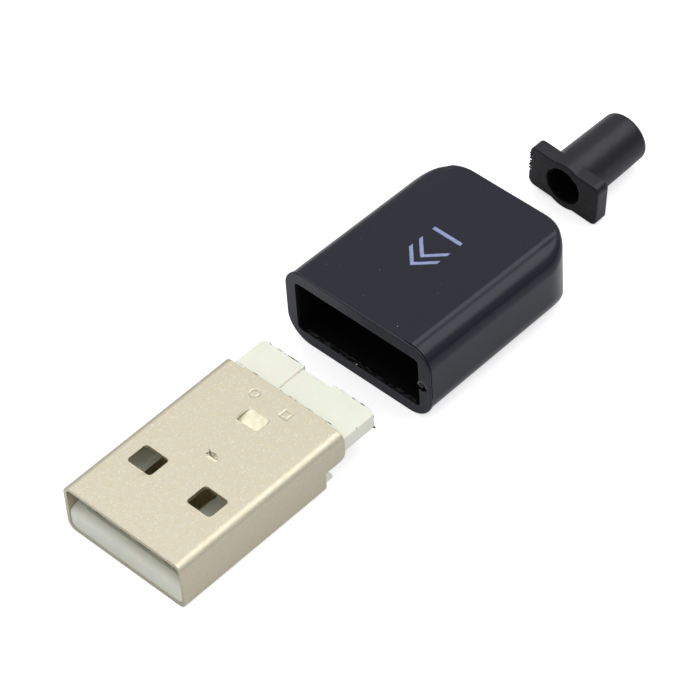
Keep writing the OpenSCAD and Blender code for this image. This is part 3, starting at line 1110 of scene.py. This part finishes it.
    def body_ring(self, x: float) -> Array:
        """Outline of the body at x.

        Its half width follows the rear corners' circle. Fans of points, close together near
        the side walls, follow the rounded long edges, which turn round the corners.

        Args:
            x: Distance from the mouth.

        Returns:
            Array of (points, 3).
        """
        round_off = self.corner_r ** 2 - self.past_corner(x) ** 2
        wide = self.body_half - self.corner_r + math.sqrt(max(0.0, round_off))
        low_start = self.edge_start(x, wide, self.low_r)
        high_start = self.edge_start(x, wide, self.high_r)
        fan = quarter_angles()
        low_y = -low_start - (wide - low_start) * np.sin(fan)
        high_y = -wide + (wide - high_start) * (1 - np.cos(fan))
        across = top_points(high_start)
        under = np.linspace(low_start, -low_start, UNDER_POINTS, endpoint=False)
        wall = np.full(SIDE_POINTS, wide)
        foot = self.drop_off(x, wall, self.low_r)[0]
        head = self.upper(x, wall)[0]
        side = np.linspace(foot, head, SIDE_POINTS, endpoint=False)
        parts = [(low_y, self.drop_off(x, low_y, self.low_r)), (-wall, side),
                 (high_y, self.upper(x, high_y)), (across, self.upper(x, across)),
                 (-high_y[::-1], self.upper(x, high_y[::-1])), (wall, side[::-1]),
                 (-low_y[::-1], self.drop_off(x, low_y[::-1], self.low_r)),
                 (under, self.drop_off(x, under, self.low_r))]
        return place_ring(x, np.concatenate([np.stack(part, 1) for part in parts]))

    def circle_like(self, ring: Array, x: float, radius: float) -> Array:
        """Circle round the cavity's axis whose points lie at a ring's own angles.

        Args:
            ring: Array of (points, 3).
            x: Distance of the circle from the mouth.
            radius: Radius of the circle.

        Returns:
            Array of (points, 3).
        """
        centre = self.height / 2
        turn = np.arctan2(ring[:, 2] - centre, ring[:, 1])
        return np.stack([np.full_like(turn, x), radius * np.cos(turn),
                         centre + radius * np.sin(turn)], 1)

    def cavity_ring(self, x: float, grow: float) -> Array:
        """Outline of the cavity at x.

        Args:
            x: Distance from the mouth.
            grow: How far it is grown on every side.

        Returns:
            Array of (points, 3).
        """
        half = self.cavity_height / 2 + grow
        middle, radius = self.height / 2, self.cavity_r + grow
        return place_ring(x, rounded_ring(self.cavity_half + grow, middle - half, middle + half,
                                          radius, radius))

    def rings(self) -> tuple[Array, int]:
        """Rings of the skin, from the rear hole over the outside and back through the cavity.

        Returns:
            Array of (rings, points, 3), and the number of the ring at the cavity's lip.
        """
        length, edge = self.length, self.rim_edge
        rear = self.body_ring(length)
        hole_edge = self.circle_like(rear, length, self.tail_r + self.tail_edge)
        hole_out = self.circle_like(rear, length - self.tail_edge, self.tail_r)
        hole_in = self.circle_like(rear, length - self.wall, self.tail_r)
        rows = [hole_in, *blend_rings(hole_in, hole_out, 3), hole_out, hole_edge,
                *blend_rings(hole_edge, rear, 7), rear]
        corner = length - self.corner_r * (1 - np.sin(np.linspace(QUARTER_TURN, 0, 56)))
        straight = np.linspace(length - self.corner_r, self.rim_length + 2 * edge, 40)
        rows += [self.body_ring(x) for x in np.concatenate([corner[1:], straight[1:]])]
        rim = rounded_ring(self.half_width, 0, self.height, self.low_r, self.rim_high_r)
        soft = rounded_ring(self.half_width - edge, edge, self.height - edge,
                            self.low_r - edge, self.rim_high_r - edge)
        foot = self.body_ring(self.rim_length)
        rim_back = place_ring(self.rim_length, soft)
        rows += [foot, *blend_rings(foot, rim_back, 1), rim_back]
        rows += [place_ring(x, rim) for x in (self.rim_length - edge, *self.rim_rows)]
        rows += [place_ring(self.rim_soft_x, (rim + 2 * soft) / 3), place_ring(0, soft)]
        lip = self.cavity_ring(0, self.flare)
        lip[:, 1] += self.lip_shift
        throat = self.cavity_ring(self.flare, 0)
        rows += blend_rings(rows[-1], lip, 18)
        lip_row = len(rows)
        rows += [lip, *blend_rings(lip, throat, 5), throat]
        end = self.cavity_ring(length - self.wall, 0)
        rows += [*blend_rings(throat, end, 10), end, *blend_rings(end, hole_in, 4)]
        return np.stack(rows), lip_row

    def off_gate(self, points: Array) -> Array:
        """Distance of points from the gate's axis."""
        return np.hypot(points[..., 1] - self.gate_place[0], points[..., 2] - self.gate_place[1])

    def sink_gate(self, rings: Array) -> Array:
        """Press the gate's pit into the rim: a flat-bottomed dish with a steep wall.

        Args:
            rings: Rings of the skin.

        Returns:
            The rings with the front points inside the pit moved back.
        """
        away = self.off_gate(rings)
        depth = self.gate_depth * ease((self.gate_r - away) / self.gate_wall)
        front = (rings[..., 0] < self.flare + 0.01) & (away < self.gate_r)
        front &= np.abs(rings[..., 1]) < self.half_width - self.gate_margin
        rings[..., 0] = np.where(front, np.maximum(rings[..., 0], depth), rings[..., 0])
        return rings

    def gate_burr(self) -> list[Array]:
        """Torn plastic in the gate's pit: an arc over it and a lump in it.

        Returns:
            The arc's tube and the lump's.
        """
        turn = np.radians(np.arange(*self.burr_turn))
        y, z = self.gate_place
        arc = np.stack([np.full_like(turn, self.burr_x), y + self.burr_reach * np.cos(turn),
                        z - self.burr_drop + self.burr_reach * np.sin(turn)], 1)
        core = np.linspace(self.lump_start, self.lump_end, 7) + np.array([0, y, z])
        tubes = [ragged_tube(arc, self.burr_r, 31, -1.0), ragged_tube(core, self.lump_r, 33, -0.6)]
        for tube in tubes:
            tube[..., 0] = np.maximum(tube[..., 0], self.torn_front)
        return tubes

    def mouth_nibs(self) -> list[Array]:
        """Rows of nibs along the cavity's lower lip.

        Returns:
            A tube for each row.
        """
        right, left = -self.cavity_half + self.nib_ends[0], self.cavity_half - self.nib_ends[1]
        tubes = []
        for number, x in enumerate(self.nib_rows):
            up = self.cavity_low - self.flare + min(x, self.flare) + 0.01
            row = RaggedLine((x, right, up), (x, left, up), self.nib_r, 41 + number, step=0.09)
            tubes.append(row.tube())
        return tubes

    def specks(self) -> list[Array]:
        """Grains of dust on the rim, at the front of the top and scattered over the top.

        Returns:
            A tube for each grain.
        """
        random = np.random.default_rng(17)
        places = [(0.03, 0.29, 1.16, 0.085), (0.9, -3.4, self.top_at(0.9), 0.055),
                  (0.2, 4.6, self.top_at(0.2) - 0.08, 0.04),
                  (0.2, 2.45, self.top_at(0.2) - 0.08, 0.045)]
        for _ in range(16):
            x, y = random.uniform(1.0, self.length - 2.0), random.uniform(-5.0, 5.0)
            places.append((x, y, self.top_at(x), random.uniform(0.014, 0.026)))
        tubes = []
        for number, (x, y, z, size) in enumerate(places):
            along = random.normal(size=3) * np.array([0.5, 1.0, 0.2])
            along *= size / np.linalg.norm(along)
            path = np.array([x, y, z]) + np.linspace(-1, 1, 5)[:, None] * along
            tubes.append(np.minimum(ragged_tube(path, size, 50 + number, 0.0), self.height))
        return tubes

    def stroke(self, tip: float, reach: float, width: float) -> Array:
        """Printed stroke of even width across the top, bent once, as a closed flat tube.

        Args:
            tip: Distance of its bend from the mouth.
            reach: Length of its two arms along the cover, 0 for a straight bar.
            width: Width of the stroke.

        Returns:
            Array of (stations, 4, 3).
        """
        share = np.linspace(-1, 1, 41)
        along = tip + reach * np.abs(share)
        y = self.print_y + self.print_half * share
        slant = width / 2 * math.hypot(reach, self.print_half) / self.print_half
        corners = []
        for side, lift in ((-1, 1), (1, 1), (1, -1), (-1, -1)):
            x = along + side * slant
            corners.append(np.stack([x, y, self.top_at(x) + lift * self.print_rise], 1))
        return np.stack(corners, 1)

    def add_tubes(self, name: str, tubes: Sequence[Array]) -> bpy.types.Object:
        """Make a piece of tubes that are counted from the cover's mouth."""
        shift = np.array([self.low.x, 0, 0])
        return capped_tubes(name, [tube + shift for tube in tubes])

    def paint_shade(self, skin: bpy.types.Object) -> None:
        """Paint shade: blacken the gate's pit, and the step behind the rim round its right corner.

        Args:
            skin: The skin, in its place in the row.
        """
        centres = face_centres(skin) - np.array([self.low.x, 0, 0])
        x, y, z = centres.T
        # Painted shade in the gate's pit and behind the rim.
        shaded_pit = (x > self.pit_x[0]) & (x < self.pit_x[1])
        paint_faces(skin, shaded_pit & (self.off_gate(centres) < self.gate_r), 1)
        shaded_behind_rim = (x > self.shade_x[0]) & (x < self.shade_x[1])
        shaded_behind_rim &= (np.abs(y) > self.shade_outer[0]) | (z > self.shade_outer[1])
        paint_faces(skin, shaded_behind_rim & (y < self.shade_right) & (z > self.shade_low), 1)

    def build(self) -> list[bpy.types.Object]:
        """Make the skin, the print, the torn plastic and the dust.

        Returns:
            The pieces made.
        """
        rings, inner = self.rings()
        skin = ring_piece("cover_skin", self.sink_gate(rings) + np.array([self.low.x, 0, 0]),
                          inner)
        # From the cavity's lip in, the faces take the painted shade black.
        dress(skin, SATIN_BLACK.material(), SHADE_BLACK.material())
        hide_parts("cover")
        self.paint_shade(skin)
        strokes = [self.stroke(tip, self.chevron_reach, self.chevron_w)
                   for tip in self.chevron_tips]
        mark = self.add_tubes("cover_mark", [*strokes, self.stroke(self.bar_x, 0.0, self.bar_w)])
        dress(mark, PALE_INK.material())
        burr, lump = self.gate_burr()
        torn = self.add_tubes("cover_gate_lip", [burr, lump])
        nib_black = NIB_BLACK.material()
        # The torn arc over the gate's pit is painted light grey, a painted highlight; the lump
        # takes the nibs' black.
        dress(torn, TORN_LIP_HIGHLIGHT.material(), nib_black)
        burr_faces = (len(burr) - 1) * burr.shape[1] + 2
        paint_faces(torn, np.arange(len(torn.data.polygons)) >= burr_faces, 1)
        nibs = self.add_tubes("cover_mouth_nibs", self.mouth_nibs())
        dress(nibs, nib_black)
        dust = self.add_tubes("cover_dust", self.specks())
        dress(dust, DUST.material())
        return [skin, mark, torn, nibs, dust]


# ---- Cable bush ----


@dataclass
class Bush:
    """The cable bush: a flange with a round middle and a tapered sleeve, bored through.

    Lengths are millimetres, counted from the flange's front along its own axis.
    """

    round_r: float = 2.3
    flange_half: float = 3.45
    flange_height: float = 4.1
    flange_t: float = 1.2
    flange_r: float = 0.6
    sleeve_r: float = 2.225
    end_r: float = 2.125
    end_round: float = 0.3
    bore_r: float = 1.525
    edge: float = 0.09
    mouth_flare: float = 0.12
    mouth_wander: float = 0.017
    mouth_reach: float = 1.9
    torn_x: tuple[float, float] = (0.25, 0.45)
    torn_width: float = 0.4
    torn_middle: float = 0.3
    torn_half: float = 1.05
    torn_fade: float = 0.15
    tooth: tuple[float, float] = (0.1, 0.14)
    flash_x: tuple[float, ...] = (0.05, 0.18)
    flash_z: tuple[float, float] = (-0.75, 1.4)
    flash_r: float = 0.16
    flash_inset: float = 0.07
    flash_margin: float = 0.004
    sideways: float = 0.25
    points: int = 240
    low: Vector = field(default_factory=lambda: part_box("strain_relief")[0] / MM)
    high: Vector = field(default_factory=lambda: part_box("strain_relief")[1] / MM)

    @property
    def length(self) -> float:
        """Length of the bush."""
        return self.high.x - self.low.x

    @property
    def roll(self) -> float:
        """Angle at which it rests on its round and on the flange's lower right corner.

        Returns:
            The angle in radians.
        """
        across = self.flange_half - self.flange_r
        up = self.flange_height / 2 - self.flange_r
        return math.asin((self.round_r - self.flange_r) / math.hypot(across, up)) - math.atan2(
            up, across)

    def flange_radius(self, turn: Array, inset: float, round_r: float) -> Array:
        """Distance of the flange's outline from the axis at each angle.

        The outline is the larger of a circle and a rounded rectangle: the rectangle's radius
        is read off its own closely spaced points.

        Args:
            turn: Angles.
            inset: How far the rectangle is drawn in.
            round_r: Radius of the circle.

        Returns:
            Array of distances.
        """
        up, corner = self.flange_height / 2 - inset, self.flange_r - inset / 2
        ring = rounded_ring(self.flange_half - inset, -up, up, corner, corner)
        angle = np.arctan2(ring[:, 1], ring[:, 0])
        order = np.argsort(angle)
        radius = np.hypot(ring[:, 0], ring[:, 1])
        box = np.interp(turn, angle[order], radius[order], period=FULL_TURN)
        return np.maximum(round_r, box)

    def rings(self) -> tuple[Array, int]:
        """Rings from the bore's front over the flange and the sleeve and back down the bore.

        Returns:
            Array of (rings, points, 3), and the number of the ring where the bore starts.
        """
        turn = np.linspace(-math.pi, math.pi, self.points, endpoint=False)
        edge, depth, length = self.edge, self.flange_t, self.length
        bore = np.full_like(turn, self.bore_r)
        wander = self.mouth_wander * (np.sin(5 * turn + 1) + np.sin(8 * turn)
                                      + np.sin(13 * turn + 2))
        mouth = bore + self.mouth_flare + wander
        face = self.flange_radius(turn, edge, self.round_r - edge)
        rows: list[tuple[float, Array]] = [(self.mouth_flare, bore), (0.0, mouth)]
        rows += [(0.0, mouth + (face - mouth) * k / 8) for k in range(1, 9)]
        quarter = np.linspace(0, QUARTER_TURN, 4)
        for step in quarter[1:]:
            inset = edge * (1 - math.sin(step))
            rows.append((edge * (1 - math.cos(step)),
                         self.flange_radius(turn, inset, self.round_r - inset)))
        fall = (self.round_r - self.sleeve_r) / (depth - edge)
        for x in np.linspace(edge, depth - edge, 6)[1:]:
            rows.append((x, self.flange_radius(turn, 0, self.round_r - fall * (x - edge))))
        for step in quarter[1:]:
            x = depth - edge * (1 - math.sin(step))
            rows.append((x, self.flange_radius(turn, edge * (1 - math.cos(step)),
                                               self.round_r - fall * (x - edge))))
        outer = rows[-1][1]
        root = np.minimum(outer, self.sleeve_r + edge)
        rows += [(depth, outer + (root - outer) * k / 5) for k in range(1, 5)]
        for step in quarter:
            rows.append((depth + edge * (1 - math.cos(step)),
                         np.minimum(outer, self.sleeve_r + edge * (1 - math.sin(step)))))
        for x in np.linspace(depth + edge, length - self.end_round, 16)[1:]:
            share = (x - depth) / (length - depth)
            sleeve = self.sleeve_r + (self.end_r - self.sleeve_r) * share
            rows.append((x, np.full_like(turn, sleeve)))
        for step in np.linspace(0, QUARTER_TURN, 7)[1:]:
            end = self.end_r - self.end_round * (1 - math.cos(step))
            rows.append((length - self.end_round * (1 - math.sin(step)),
                         np.full_like(turn, end)))
        rows += [(length, bore + edge / 2), (length - edge / 2, bore)]
        bore_row = len(rows) - 1
        rows += [(x, bore) for x in np.linspace(length - edge, self.mouth_flare + edge, 12)]
        rings = np.stack([np.stack([np.full_like(turn, x), radius * np.cos(turn),
                                    radius * np.sin(turn)], 1) for x, radius in rows])
        return self.tear(rings), bore_row

    def tear(self, rings: Array) -> Array:
        """Tear the flange's left front edge into uneven teeth.

        Args:
            rings: Rings of the body, counted from its own axis.

        Returns:
            The rings with the points near that edge drawn in by a bent sine's height.
        """
        x, y, z = rings[..., 0], rings[..., 1], rings[..., 2]
        near = np.clip((self.torn_x[1] - x) / np.ptp(self.torn_x), 0, 1)
        near = near * np.clip((y - self.flange_half) / self.torn_width + 1.1, 0, 1)
        reach = self.torn_half - np.abs(z - self.torn_middle)
        reach = np.clip(reach / self.torn_fade, 0, 1)
        root, height = self.tooth
        teeth = root + height * np.abs(np.sin(6.3 * z + 2.2 * np.sin(2.7 * z)))
        rings[..., 1] = y - near * reach * teeth
        return rings

    def place(self, points: Array) -> Array:
        """Roll points about the bush's axis and set them where it lies.

        Args:
            points: Array of (..., 3), counted from its own axis.

        Returns:
            The points in the row's frame, none of them under the floor.
        """
        cos, sin = math.cos(self.roll), math.sin(self.roll)
        y, z = points[..., 1], points[..., 2]
        up = np.maximum(y * sin + z * cos + self.round_r, 0.001)
        return np.stack([points[..., 0] + self.low.x, y * cos - z * sin + self.sideways, up], -1)

    def flash(self) -> list[Array]:
        """Threads of flash on the torn edge, kept within the bush's own box.

        Returns:
            A tube for each thread, where the bush lies.
        """
        y = self.flange_half - self.flash_inset
        tubes = []
        for number, x in enumerate(self.flash_x):
            thread = RaggedLine((x, y, self.flash_z[0]), (x, y, self.flash_z[1]), self.flash_r,
                                11 + number, gaps=0.4, step=0.11, soft=False)
            tube = self.place(thread.tube())
            tube[..., 0] = np.maximum(tube[..., 0], self.low.x)
            tube[..., 1] = np.minimum(tube[..., 1], self.high.y - self.flash_margin)
            tubes.append(tube)
        return tubes

    def build(self) -> list[bpy.types.Object]:
        """Make the bush's body, with a cut front face darkened by painted shade and a mouth
        blackened by painted shade, and its flash.

        Returns:
            The pieces made.
        """
        rings, inner = self.rings()
        # From the ring where the bore starts, the faces take the painted shade black.
        body = ring_piece("bush_body", self.place(rings), inner)
        soft = SOFT_BLACK.material()
        dress(body, soft, SHADE_BLACK.material(), CUT_FACE_SHADE.material())
        centres = face_centres(body)
        depth = centres[:, 0] - self.low.x
        away = np.hypot(centres[:, 1] - self.sideways, centres[:, 2] - self.round_r)
        # The cut front face takes its black, darkened as painted shade.
        front = depth < 0.005
        paint_faces(body, front, 2)
        # Painted shade: the faces round the bore's mouth are blackened.
        paint_faces(body, ~front & (depth < self.mouth_flare) & (away < self.mouth_reach), 1)
        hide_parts("strain_relief")
        torn = capped_tubes("bush_flash", self.flash())
        dress(torn, soft)
        return [body, torn]


# ---- Studio ----


@dataclass
class Studio:
    """Pale floor, soft light and the camera. Angles are degrees, lengths are metres."""

    azimuth: float = -43.6644
    elevation: float = 46.6427
    roll: float = -4.2651
    distance: float = 0.26606
    aim: Place = (-0.003062, 0.0010967, 0.002)
    lens: float = 184.403
    floor_half: float = 2.0
    floor_z: float = -1e-5
    floor_tint: Rgb = (0.855, 0.855, 0.865)
    floor_glow: tuple[float, float] = (0.62, 0.09)
    base_light: float = 0.42
    lobes: tuple[tuple[Place, float, float, float], ...] = (
        ((0, 0, 1), 40, 90, 0.46), ((0.474, -0.19, 0.86), 14, 30, 1.65),
        ((0.13, 0.51, 0.85), 7, 21, 1.15))

    def floor(self) -> None:
        """Lay the floor: pale cloth that glows to the camera, and a little to reflections.

        Where light falls freely it is plain white to the camera, and it keeps its shadows.
        """
        half, z = self.floor_half, self.floor_z
        mesh = bpy.data.meshes.new("floor")
        mesh.from_pydata([(-half, -half, z), (half, -half, z), (half, half, z),
                          (-half, half, z)], [], [(0, 1, 2, 3)])
        plane = bpy.data.objects.new("floor", mesh)
        bpy.context.scene.collection.objects.link(plane)
        material = bpy.data.materials.new("floor")
        material.use_nodes = True
        tree = material.node_tree
        tree.nodes.clear()
        out = tree.nodes.new("ShaderNodeOutputMaterial")
        cloth = tree.nodes.new("ShaderNodeBsdfDiffuse")
        cloth.inputs["Color"].default_value = linear(self.floor_tint)
        glow = tree.nodes.new("ShaderNodeEmission")
        path = tree.nodes.new("ShaderNodeLightPath")
        strength: Optional[Socket] = None
        to_camera, to_mirrors = self.floor_glow
        for ray, share in (("Is Camera Ray", to_camera), ("Is Glossy Ray", to_mirrors),
                           ("Is Transmission Ray", to_mirrors)):
            scaled = tree.nodes.new("ShaderNodeMath")
            scaled.operation = "MULTIPLY_ADD"
            scaled.inputs[1].default_value = share
            scaled.inputs[2].default_value = 0.0
            tree.links.new(path.outputs[ray], scaled.inputs[0])
            if strength is not None:
                tree.links.new(strength, scaled.inputs[2])
            strength = scaled.outputs[0]
        tree.links.new(strength, glow.inputs["Strength"])
        both = tree.nodes.new("ShaderNodeAddShader")
        tree.links.new(cloth.outputs[0], both.inputs[0])
        tree.links.new(glow.outputs[0], both.inputs[1])
        tree.links.new(both.outputs[0], out.inputs["Surface"])
        mesh.materials.append(material)

    def world(self) -> None:
        """Fill the surroundings with even light and add the soft boxes.

        The strength is a base plus one smooth lobe for each soft box. A lobe has a
        direction, the angle up to which it is full, the angle at which it has faded out,
        and its strength. The camera itself sees plain white.
        """
        world = bpy.data.worlds.new("surroundings")
        bpy.context.scene.world = world
        world.use_nodes = True
        tree = world.node_tree
        back = tree.nodes["Background"]
        back.inputs["Color"].default_value = (1, 1, 1, 1)
        direction = tree.nodes.new("ShaderNodeTexCoord").outputs["Generated"]
        level: Optional[Socket] = None
        for towards, inner, outer, strength in self.lobes:
            dot = tree.nodes.new("ShaderNodeVectorMath")
            dot.operation = "DOT_PRODUCT"
            dot.inputs[1].default_value = Vector(towards).normalized()
            tree.links.new(direction, dot.inputs[0])
            lobe = tree.nodes.new("ShaderNodeMapRange")
            lobe.interpolation_type = "SMOOTHSTEP"
            lobe.inputs["From Min"].default_value = math.cos(math.radians(outer))
            lobe.inputs["From Max"].default_value = math.cos(math.radians(inner))
            lobe.inputs["To Max"].default_value = strength
            tree.links.new(dot.outputs["Value"], lobe.inputs["Value"])
            total = tree.nodes.new("ShaderNodeMath")
            total.inputs[0].default_value = self.base_light
            if level is not None:
                tree.links.new(level, total.inputs[0])
            tree.links.new(lobe.outputs["Result"], total.inputs[1])
            level = total.outputs[0]
        path = tree.nodes.new("ShaderNodeLightPath")
        choose = tree.nodes.new("ShaderNodeMix")
        choose.inputs["B"].default_value = 1.0
        tree.links.new(path.outputs["Is Camera Ray"], choose.inputs["Factor"])
        tree.links.new(level, choose.inputs["A"])
        tree.links.new(choose.outputs["Result"], back.inputs["Strength"])

    def camera(self) -> None:
        """Set the camera from its direction, its roll and the point it aims at."""
        azimuth, elevation, roll = (math.radians(v) for v in (self.azimuth, self.elevation,
                                                              self.roll))
        back = Vector((math.sin(azimuth) * math.cos(elevation),
                       -math.cos(azimuth) * math.cos(elevation), math.sin(elevation)))
        right = (-back).cross(Vector((0, 0, 1))).normalized()
        up = right.cross(-back)
        turned_right = right * math.cos(roll) + up * math.sin(roll)
        turned_up = up * math.cos(roll) - right * math.sin(roll)
        data = bpy.data.cameras.new("camera")
        data.sensor_width = 36
        data.lens = self.lens
        data.clip_start = 0.01
        eye = bpy.data.objects.new("camera", data)
        turn = Matrix((turned_right, turned_up, back)).transposed().to_4x4()
        eye.matrix_world = Matrix.Translation(Vector(self.aim) + back * self.distance) @ turn
        bpy.context.scene.collection.objects.link(eye)
        bpy.context.scene.camera = eye

    def build(self) -> None:
        """Set up the floor, the light and the camera."""
        self.floor()
        self.world()
        self.camera()
        bpy.context.scene.view_settings.view_transform = "Standard"


def main() -> None:
    """Build every piece and the studio, and log each piece's number of vertices."""
    logging.basicConfig(level=logging.INFO, format="%(name)s: %(message)s")
    for part in (Plug(), Cover(), Bush()):
        for piece in part.build():
            LOG.info("%s: %d vertices", piece.name, len(piece.data.vertices))
    Studio().build()


if __name__ == "__main__":
    main()
